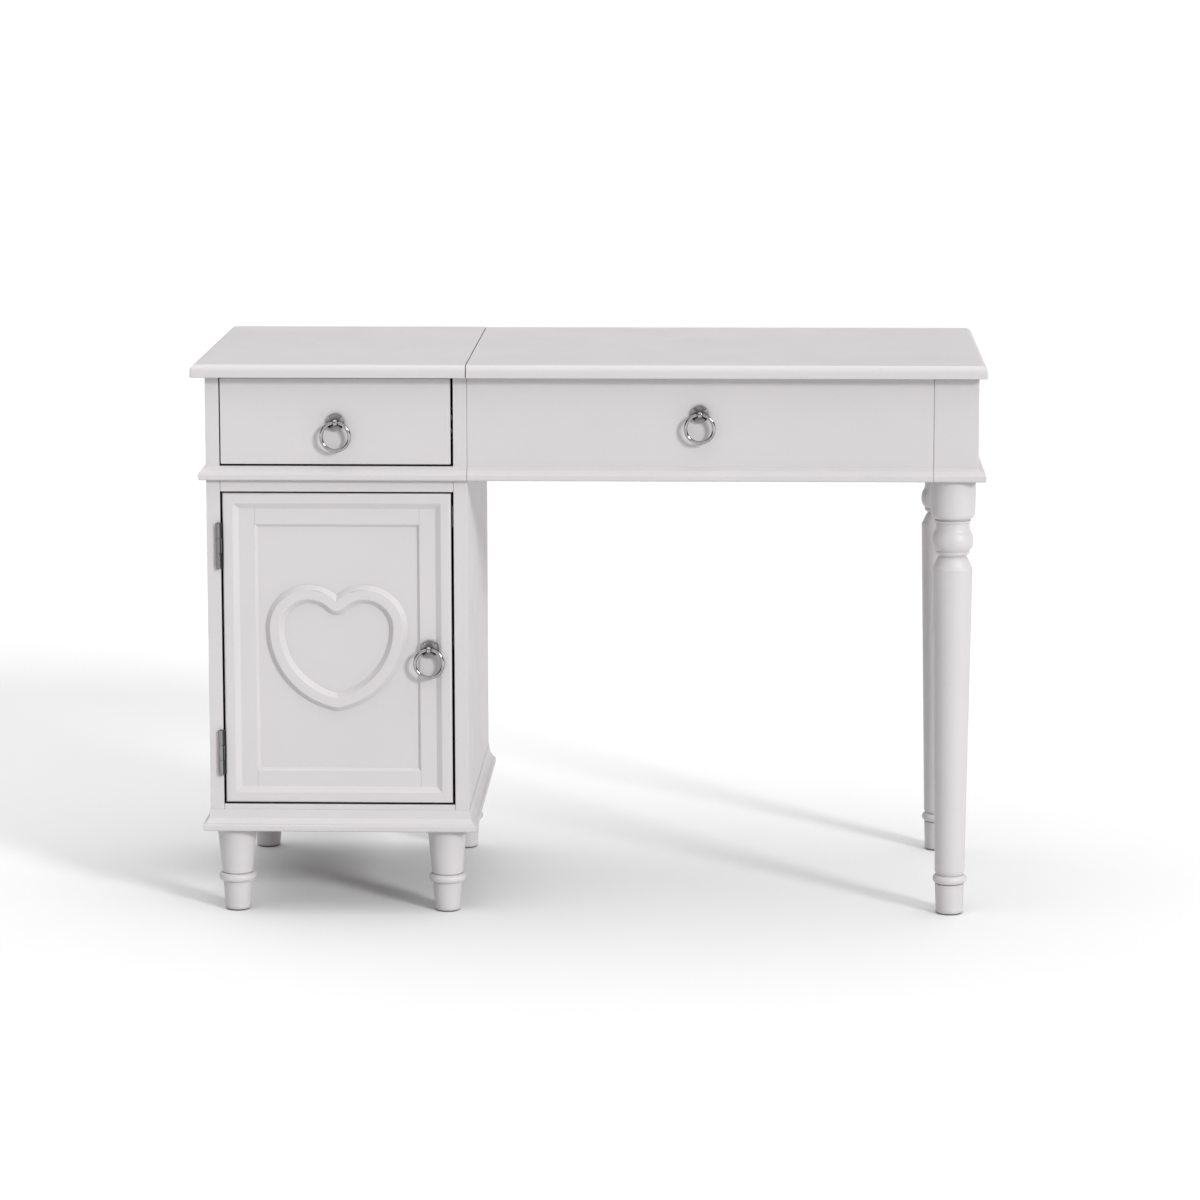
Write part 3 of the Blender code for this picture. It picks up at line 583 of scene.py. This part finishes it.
def top_board(name, replaced, body, moulded_side):
    """A top whose front and one side carry a small lip under a long round-over."""
    low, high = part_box(replaced)
    rise = high.z - low.z - TOP_LIP
    profile = [(TOP_EASING, 0.0), (TOP_EASING / 3, TOP_EASING / 3), (0.0, TOP_EASING)]
    round_over = arc((0, 0), 1, 0, 90, 14)
    profile += [(TOP_INSET * (1 - inwards), TOP_LIP + rise * up) for inwards, up in round_over]
    loops = []
    for inset, height in profile:
        corner = max(TOP_CORNER - inset, PLAIN_CORNER / 2)
        front = low.y + inset
        left, left_corner, right, right_corner = low.x, PLAIN_CORNER, high.x, PLAIN_CORNER
        if moulded_side == "left":
            left, left_corner = low.x + inset, corner
        else:
            right, right_corner = high.x - inset, corner
        plan = [
            (left, front, left_corner),
            (right, front, right_corner),
            (right, high.y, PLAIN_CORNER),
            (left, high.y, PLAIN_CORNER),
        ]
        loops.append([Vector((x, y, low.z + height)) for x, y in rounded(plan, 4)])
    board = loose_object(name, lofted(loops))
    dressed(board, "lacquer", body, [replaced], bevel=0.0005)


def blunt_nose(low, high, out, nose):
    """The back of a moulding, its underside and its nose, up to the given height on the nose."""
    return [
        (-EMBED, high.z, 0.0),
        (-EMBED, low.z, 0.0),
        (out - NOSE_UNDERCUT, low.z, NOSE_UNDER_ROUND),
        (out, low.z + nose, NOSE_TOP_ROUND),
    ]


def waist_profile():
    """A slightly rounded slope down to a blunt nose."""
    low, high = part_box("waist_moulding_cabinet")
    shoulder = (WAIST_SHOULDER_OUT, high.z - WAIST_SHOULDER_DROP, 0.0150)
    return rounded([*blunt_nose(low, high, WAIST_OUT, WAIST_NOSE), shoulder])


def base_profile():
    """A steep slope that runs out above a blunt nose, with a crease between them."""
    low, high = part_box("base_moulding")
    slope = [
        (out, low.z + up, radius)
        for (out, up), radius in ((BASE_CREASE, 0.0006), (BASE_STEP, 0.0030), (BASE_SLOPE_TOP, 0.0030))
    ]
    return rounded([*blunt_nose(low, high, BASE_OUT, BASE_NOSE), *slope, (0.0007, high.z, 0.0002)])


def mouldings():
    path = [(CABINET_LEFT, BACK), (CABINET_LEFT, FACE), (CABINET_RIGHT, FACE)]
    waist = loose_object("waist_moulding_left_run", swept("z", path, waist_profile()))
    dressed(waist, "lacquer", "carcass", ["waist_moulding_cabinet"])
    path.append((CABINET_RIGHT, BACK))
    base = loose_object("base_moulding_run", swept("z", path, base_profile()))
    dressed(base, "lacquer", "carcass", ["base_moulding"])
    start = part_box("waist_moulding_desk")[0].x
    path = [(start, FACE), (POST_HIGH.x, FACE), (POST_HIGH.x, BACK)]
    desk = loose_object("waist_moulding_right_run", swept("z", path, waist_profile()))
    seam_right = POST_LOW.x - SEAM_WIDTH / 5
    seam_left = seam_right - SEAM_WIDTH
    outside, inside = FACE - 2 * WAIST_OUT, FACE + 2 * EMBED
    seam = [(seam_left, outside), (seam_right, outside), (seam_right, inside), (seam_left, inside)]
    low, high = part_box("waist_moulding_desk")
    carve(desk, prism("z", seam, low.z - 0.001, high.z + 0.001))
    dressed(desk, "lacquer", "carcass", ["waist_moulding_desk"])


def straight(start, end, steps):
    """Points along a line, without its start."""
    return [tuple(Vector(start).lerp(Vector(end), i / steps)) for i in range(1, steps + 1)]


def leg_profile(top):
    """The right-hand outline of a leg, from the drum down to the floor."""
    drum = [(0.0310, top), (0.0317, top - 0.0007)]
    drum += curve_through([(0.0317, top - 0.0020), (0.0314, 0.5900), (0.0307, 0.5700)], 3)
    drum_foot = curve_through([(0.0303, 0.5680), (0.0293, 0.5652), (0.0274, 0.5632), (0.0250, 0.5622)])
    fillet = [(0.0238, 0.5618), (0.0236, 0.5612)]
    fillet += arc((0.0238, 0.5590), 0.0013, 80, 10, 4) + arc((0.0238, 0.5582), 0.0013, -10, -80, 4)
    fillet += [(0.0232, 0.5564), (0.0231, 0.5558)]
    neck = curve_through([(0.0233, 0.5550), (0.0234, 0.5520), (0.0239, 0.5475), (0.0250, 0.5440)])
    neck += [(0.0253, 0.5436), (0.0252, 0.5432)]
    bulb = [(0.0258, 0.5426), (0.0275, 0.5385), (0.0286, 0.5330), (0.0284, 0.5270), (0.0266, 0.5212)]
    bulb = curve_through([*bulb, (0.0240, 0.5178)]) + [(0.0230, 0.5172), (0.0229, 0.5166)]
    ring = curve_through([(0.0234, 0.5160), (0.0237, 0.5148), (0.0224, 0.5122), (0.0199, 0.5104)], 4)
    ring += [(0.0190, 0.5098), (0.0188, 0.5092)]
    cove = [(0.0196, 0.5080), (0.0214, 0.5055), (0.0236, 0.5010), (0.0252, 0.4968), (0.0266, 0.4942)]
    cove = curve_through(cove, 5) + [(0.0270, 0.4938), (0.0271, 0.4933)]
    shoulder = curve_through([(0.0275, 0.4928), (0.0278, 0.4915), (0.0278, 0.4895)], 4)
    taper = straight((0.0278, 0.4895), (0.0208, 0.0606), 8)
    bead = [(0.0204, 0.0602), (0.0204, 0.0596)] + arc((0.0176, 0.0495), 0.0062, 80, -80, 14)
    sole = [(0.0199, 0.0426), (0.0204, 0.0418), (0.0190, 0.0045)]
    sole += arc((0.0160, 0.0030), 0.0030, 0, -90, 5)
    return drum + drum_foot + fillet + neck + bulb + ring + cove + shoulder + taper + bead + sole


def foot_profile(top):
    """The same for a foot: a taper down to a bead, and a smaller taper below it."""
    taper = [(0.0272, top), (0.0276, top - 0.0006)]
    taper += straight((0.0276, top - 0.0006), (0.0218, top - 0.0648), 5)
    bead = [(0.0209, 0.0544), (0.0209, 0.0538)] + arc((0.0201, 0.0478), 0.0061, 78, -78, 14)
    sole = [(0.0203, 0.0414), (0.0206, 0.0408), (0.0177, 0.0040)]
    sole += arc((0.0147, 0.0030), 0.0030, 0, -90, 5)
    return taper + bead + sole


def stand(kind, name, profile):
    """A turned leg or foot in place of a plain one."""
    low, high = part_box(name)
    middle = (low + high) / 2
    piece = loose_object(f"turned_{kind}_{name}", turned(profile(high.z)), sharp=40)
    piece.location = (middle.x, middle.y, 0)
    dressed(piece, "lacquer", "carcass", [name])


def legs_and_feet():
    for row in ("front", "rear"):
        stand("leg", f"desk_leg_{row}", leg_profile)
    for row in ("front", "rear"):
        for side in ("left", "right"):
            stand("foot", f"foot_{row}_{side}", foot_profile)


# Door.


def heart_half(inset):
    """The heart's right half from notch to tip, offset inwards.

    Two arcs, and a third round the notch where the offset rounds it.
    """
    notch_steps, lobe_steps, side_steps = HEART_STEPS
    lobe, side = HEART_LOBE - inset, HEART_SIDE - inset
    notch_z = math.sqrt(HEART_LOBE**2 - HEART_LOBE_X**2)
    side_x = HEART_LOBE_X + HEART_LOBE - HEART_SIDE
    if inset > 0:
        lobe_start = math.degrees(math.atan2(notch_z, -HEART_LOBE_X))
        points = arc((0, notch_z), inset, -90, lobe_start - 180, notch_steps)[:-1]
        points += arc((HEART_LOBE_X, 0), lobe, lobe_start, 0, lobe_steps)
    else:
        lobe_start = math.degrees(math.acos(-HEART_LOBE_X / lobe))
        points = arc((HEART_LOBE_X, 0), lobe, lobe_start, 0, notch_steps + lobe_steps)
    tip = -math.degrees(math.acos(-side_x / side))
    return points + arc((side_x, 0), side, 0, tip, side_steps)[1:]


def heart():
    low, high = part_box("door_heart")
    middle_x = (low.x + high.x) / 2
    middle_z = high.z - HEART_LOBE - HEART_SLOPE
    band_end = HEART_BAND + HEART_SLOPE
    rim, rim_y = HEART_SLOPE * 0.04, high.y - 0.0001
    section = rounded(
        [
            (-HEART_SLOPE, high.y, 0),
            (rim - HEART_SLOPE, rim_y, 0),
            (0.0, low.y, HEART_CREST_ROUND),
            (HEART_BAND, low.y, HEART_CREST_ROUND),
            (band_end - rim, rim_y, 0),
            (band_end, high.y, 0),
        ],
        7,
    )
    loops = []
    for inset, y in section:
        right = heart_half(inset)
        left = [(-u, v) for u, v in right[-2:0:-1]]
        loops.append([Vector((middle_x + u, y, middle_z + v)) for u, v in right + left])
    piece = loose_object("heart_band", lofted(loops, ring=True), sharp=40)
    dressed(piece, "lacquer", "door", ["door_heart"])


def door():
    low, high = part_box("door_frame")
    corners = [(low.x, low.z), (low.x, high.z), (high.x, high.z), (high.x, low.z)]
    flat, step = FACE + FLAT_DEPTH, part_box("door_panel")[0].y + 0.0001
    section = rounded(
        [
            (0.0, FACE, 0.0036),
            (DOOR_BORDER, FACE, 0.0030),
            (DOOR_BEVEL, flat, 0.0016),
            (DOOR_FLAT, flat, 0.0014),
            (DOOR_STEP, step, 0),
            (DOOR_RABBET, step, 0),
            (DOOR_RABBET, FACE + DOOR_THICKNESS, 0.0004),
            (0.0, FACE + DOOR_THICKNESS, 0.0008),
        ]
    )
    piece = loose_object("door_frame_moulded", swept("y", corners, section, closed=True))
    score_ends = [
        (low.z + DOOR_BEVEL, low.z + DOOR_STEP),
        (high.z - DOOR_STEP, high.z - DOOR_BEVEL),
    ]
    outside, half = flat - 2 * SCORE_DEPTH, SCORE_WIDTH / 2
    for side in (low.x + DOOR_FLAT, high.x - DOOR_FLAT):
        score = [(side - half, outside), (side + half, outside), (side, flat + SCORE_DEPTH)]
        for start, end in score_ends:
            carve(piece, prism("z", score, start, end))
    dressed(piece, "lacquer", "door", ["door_frame"])
    heart()


# Ring pulls.


def knob_height(x, y):
    """Four flat facets that meet in raised ridges on the diagonals."""
    off_diagonal = abs(abs(x) - abs(y)) / RIDGE_HALF_WIDTH
    ridge = RIDGE_HEIGHT * max(0.0, 1 - off_diagonal**4)
    return KNOB_HEIGHT - KNOB_SLOPE * max(abs(x), abs(y)) + ridge


def knob_shape():
    """A cut stone that faces +Z, on a round shank under a thin girdle."""
    directions = arc((0, 0), 1, 0, 360, 96)[:-1]
    shank = [(0.0098, 0.0003), (0.0098, 0.0016), (0.0108, 0.0030), (KNOB_RADIUS, 0.0040)]
    loops = [[Vector((r * u, r * v, z)) for u, v in directions] for r, z in shank]
    for i in range(KNOB_RINGS):
        r = KNOB_RADIUS * (1 - i / KNOB_RINGS)
        loops.append([Vector((r * u, r * v, knob_height(r * u, r * v))) for u, v in directions])
    return lofted(loops)


def eye_shape():
    """The knob's nose: a barrel round the X axis with a rounded hole."""
    half = EYE_WIDTH / 2
    edge = 0.0007
    shoulder = EYE_RADIUS - 0.0006
    section = rounded(
        [
            (-half, EYE_HOLE, edge),
            (half, EYE_HOLE, edge),
            (half, shoulder, edge),
            (0, EYE_RADIUS + 0.0001, 0.0040),
            (-half, shoulder, edge),
        ],
        5,
    )
    loops = [[Vector((x, r * math.cos(a), r * math.sin(a))) for x, r in section] for a in circle(64)]
    return lofted(loops, ring=True)


def ring_shape(wire, radius):
    """A ring of round wire that stands upright, round the Y axis."""
    section = arc((radius, 0), wire, 0, 360, 28)[:-1]
    loops = [[Vector((r * math.cos(a), y, r * math.sin(a))) for r, y in section] for a in circle(144)]
    return lofted(loops, ring=True)


def ring_pull(name, body):
    """A knob with an eye in its nose, and the ring that hangs in it."""
    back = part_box(f"{name}_pull_base")[1].y + TOUCH
    swing = Vector(next(j for j in frame["joints"] if j["name"] == f"{name}_ring_swing")["pos_m"])
    knob = knob_shape()
    facing_front = Matrix.Rotation(math.radians(90), 4, "X")
    bmesh.ops.transform(knob, matrix=facing_front, verts=knob.verts)
    bmesh.ops.translate(knob, vec=(swing.x, back, swing.z), verts=knob.verts)
    piece = loose_object(f"{name}_knob", knob, sharp=16)
    eye = eye_shape()
    bmesh.ops.translate(eye, vec=swing, verts=eye.verts)
    carve(piece, eye, "UNION", sharp=16)
    dressed(piece, "nickel", body, [f"{name}_pull_base"])
    low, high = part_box(f"{name}_pull_ring")
    middle = (low + high) / 2
    ring = loose_object(f"{name}_ring", ring_shape(RING_WIRE, (high.x - low.x) / 2 - RING_WIRE))
    ring.location = middle
    dressed(ring, "nickel", f"{name}_ring", [f"{name}_pull_ring"])


# Mirror.


def mirror():
    """A moulded frame under the lid, and a glass with a bevelled border."""
    low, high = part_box("mirror_frame")
    glass_low, glass_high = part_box("mirror_glass")
    ledge = glass_low.z - 2 * TOUCH
    section = rounded(
        [
            (0.0, high.z, 0.0004),
            (MIRROR_FLAT, high.z, 0.0003),
            (MIRROR_FLAT, ledge, 0.0002),
            (MIRROR_LIP, ledge, 0.0003),
            (MIRROR_LIP, ledge - 0.0026, 0.0012),
            (0.0180, low.z + 0.0006, 0.0050),
            (0.0100, low.z, 0.0060),
            (0.0, low.z + 0.0008, 0.0045),
        ]
    )
    corners = [(low.x, low.y), (low.x, high.y), (high.x, high.y), (high.x, low.y)]
    piece = loose_object("mirror_frame_moulded", swept("z", corners, section, closed=True))
    dressed(piece, "lacquer", "lid", ["mirror_frame"])
    bevel_end = MIRROR_LIP - (glass_low.x - low.x) + MIRROR_BEVEL
    loops = []
    for inset, z in ((0.0, glass_high.z), (0.0, glass_low.z + 0.0012), (bevel_end, glass_low.z)):
        plan = [
            (glass_low.x + inset, glass_low.y + inset),
            (glass_high.x - inset, glass_low.y + inset),
            (glass_high.x - inset, glass_high.y - inset),
            (glass_low.x + inset, glass_high.y - inset),
        ]
        loops.append([Vector((x, y, z)) for x, y in plan])
    glass = loose_object("mirror_glass_bevelled", lofted(loops), sharp=2)
    dressed(glass, "mirror", "lid", ["mirror_glass"])


# Screws.


def screw_mesh(radius):
    """A countersunk head that faces +Z, with a cross slot."""
    dome = [(0.55, 0.00045), (0.9, 0.00035), (1.0, 0.0001), (1.0, -0.0002)]
    piece = loose_object("screw", turned([(radius * share, height) for share, height in dome], 40))
    long, short = radius * 0.62, radius * 0.17
    for u, v in ((long, short), (short, long)):
        bar = [(-u, -v), (u, -v), (u, v), (-u, v)]
        carve(piece, prism("z", bar, 0.00012, 0.002))
    mesh = piece.data
    bpy.data.objects.remove(piece)
    return mesh


def screws(name, mesh, places, facing, slot, body):
    """Copies of a screw head at places, which face along a direction."""
    for i, place in enumerate(places):
        head = new_object(f"{name}_{i + 1}", mesh.copy())
        head.rotation_mode = "QUATERNION"
        head.rotation_quaternion = facing.to_track_quat("Z", "Y")
        head.location = place
        dressed(head, slot, body)


def lid_hinge_screws():
    mesh = screw_mesh(SCREW_RADIUS)
    outer = BACK + TOUCH + LEAF_THICKNESS
    for side in ("left", "right"):
        for kind, body, height in (("fixed", "carcass", 0.30), ("moving", "lid", 0.62)):
            low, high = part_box(f"lid_hinge_{side}_{kind}_leaf")
            z = low.z + (high.z - low.z) * height
            places = [Vector((low.x + (high.x - low.x) * share, outer, z)) for share in SCREW_SPACING]
            screws(f"lid_hinge_{side}_{kind}_screw", mesh, places, Vector((0, 1, 0)), "zinc", body)


# Boards and fittings that keep their CAD shape.

# The radius of each slot's edges, and of single pieces that differ from their slot.
SOFT_EDGES = {
    "drawer_front": 0.0010,
    "desk_post_front": 0.0022,
    "desk_post_rear": 0.0016,
    "desk_front_apron": 0.0022,
    "drawer_bottom": 0.0004,
    "door_panel": 0.0004,
    "door_catch": 0.0010,
    "cabinet_shelf": 0.0012,
    "stay_lid_bracket": 0.0004,
    "stay_base_bracket": 0.0004,
    "stay_lower_arm": 0.0005,
    "stay_upper_arm": 0.0005,
}
SLOT_EDGES = {
    "lacquer": 0.0007,
    "drawer_wood": 0.0008,
    "hinge_steel": 0.0004,
    "zinc": 0.00025,
    "catch_plastic": 0.0010,
}
REPLACED = (
    "cabinet_top",
    "lid_board",
    "waist_moulding_cabinet",
    "waist_moulding_desk",
    "base_moulding",
    "door_frame",
    "door_heart",
    "mirror_frame",
    "mirror_glass",
)


def kept_parts():
    for part in frame["record"]["subparts"]:
        name, slot = part["node"], part["material_slot"]
        if name in REPLACED or name.startswith(("foot_", "desk_leg_")) or "_pull_" in name:
            continue
        soften(name, slot, SOFT_EDGES.get(name, SLOT_EDGES[slot]))


# Studio.


def studio_world():
    """A soft studio: bright overhead, dim lower down, a dark panel to each side, a pale horizon."""
    world = bpy.data.worlds.new("studio")
    bpy.context.scene.world = world
    world.use_nodes = True
    tree = world.node_tree
    place = node(tree, "ShaderNodeTexCoord").outputs["Generated"]
    direction = node(tree, "ShaderNodeSeparateXYZ", Vector=place).outputs
    sky = ranged(tree, direction["Z"], *SKY_FADE, SKY_LOW, SKY_TOP)
    sideways = arithmetic(tree, "ABSOLUTE", direction["X"])
    beside = ranged(tree, sideways, *PANEL_EDGE, 0.0, 1.0)
    low_down = ranged(tree, direction["Z"], *PANEL_TOP, 1.0, 0.0)
    panel = arithmetic(tree, "MULTIPLY", beside, low_down)
    sky = ranged(tree, panel, 0.0, 1.0, sky, SKY_SIDE)
    glow = ranged(tree, direction["Z"], *HORIZON_FADE, HORIZON_GLOW, 0.0)
    total = arithmetic(tree, "ADD", sky, glow)
    tree.links.new(total, tree.nodes["Background"].inputs["Color"])


def key_light():
    key = bpy.data.lights.new("key", "SUN")
    key.energy = KEY_STRENGTH
    key.angle = KEY_SOFTNESS
    lamp = new_object("key", key)
    lamp.rotation_mode = "QUATERNION"
    lamp.rotation_quaternion = KEY_DIRECTION.to_track_quat("-Z", "Y")


def floor():
    shape = bmesh.new()
    bmesh.ops.create_grid(shape, x_segments=8, y_segments=8, size=FLOOR_REACH)
    made = loose_object("floor", shape)
    made.data.materials.append(floor_paint())


def camera():
    """A camera turned by yaw, then pitched down, then rolled."""
    right = Vector((math.cos(CAMERA_YAW), math.sin(CAMERA_YAW), 0))
    level = Vector((-math.sin(CAMERA_YAW), math.cos(CAMERA_YAW), 0))
    ahead = level * math.cos(CAMERA_PITCH) - UP * math.sin(CAMERA_PITCH)
    over = right.cross(ahead)
    across = right * math.cos(CAMERA_ROLL) + over * math.sin(CAMERA_ROLL)
    lens = bpy.data.cameras.new("camera")
    lens.lens = CAMERA_LENS
    lens.sensor_width = CAMERA_SENSOR
    lens.shift_y = CAMERA_SHIFT
    lens.clip_end = CAMERA_REACH
    made = new_object("camera", lens)
    turn = Matrix((across, across.cross(ahead), -ahead)).transposed().to_4x4()
    made.matrix_world = Matrix.Translation(CAMERA_PLACE) @ turn
    bpy.context.scene.camera = made


camera()
studio_world()
key_light()
floor()
bpy.context.scene.view_settings.view_transform = "Standard"

kept_parts()
top_board("cabinet_top_moulded", "cabinet_top", "carcass", "left")
top_board("lid_moulded", "lid_board", "lid", "right")
mouldings()
legs_and_feet()
door()
ring_pull("drawer", "drawer")
ring_pull("door", "door")
ring_pull("apron", "carcass")
mirror()
lid_hinge_screws()
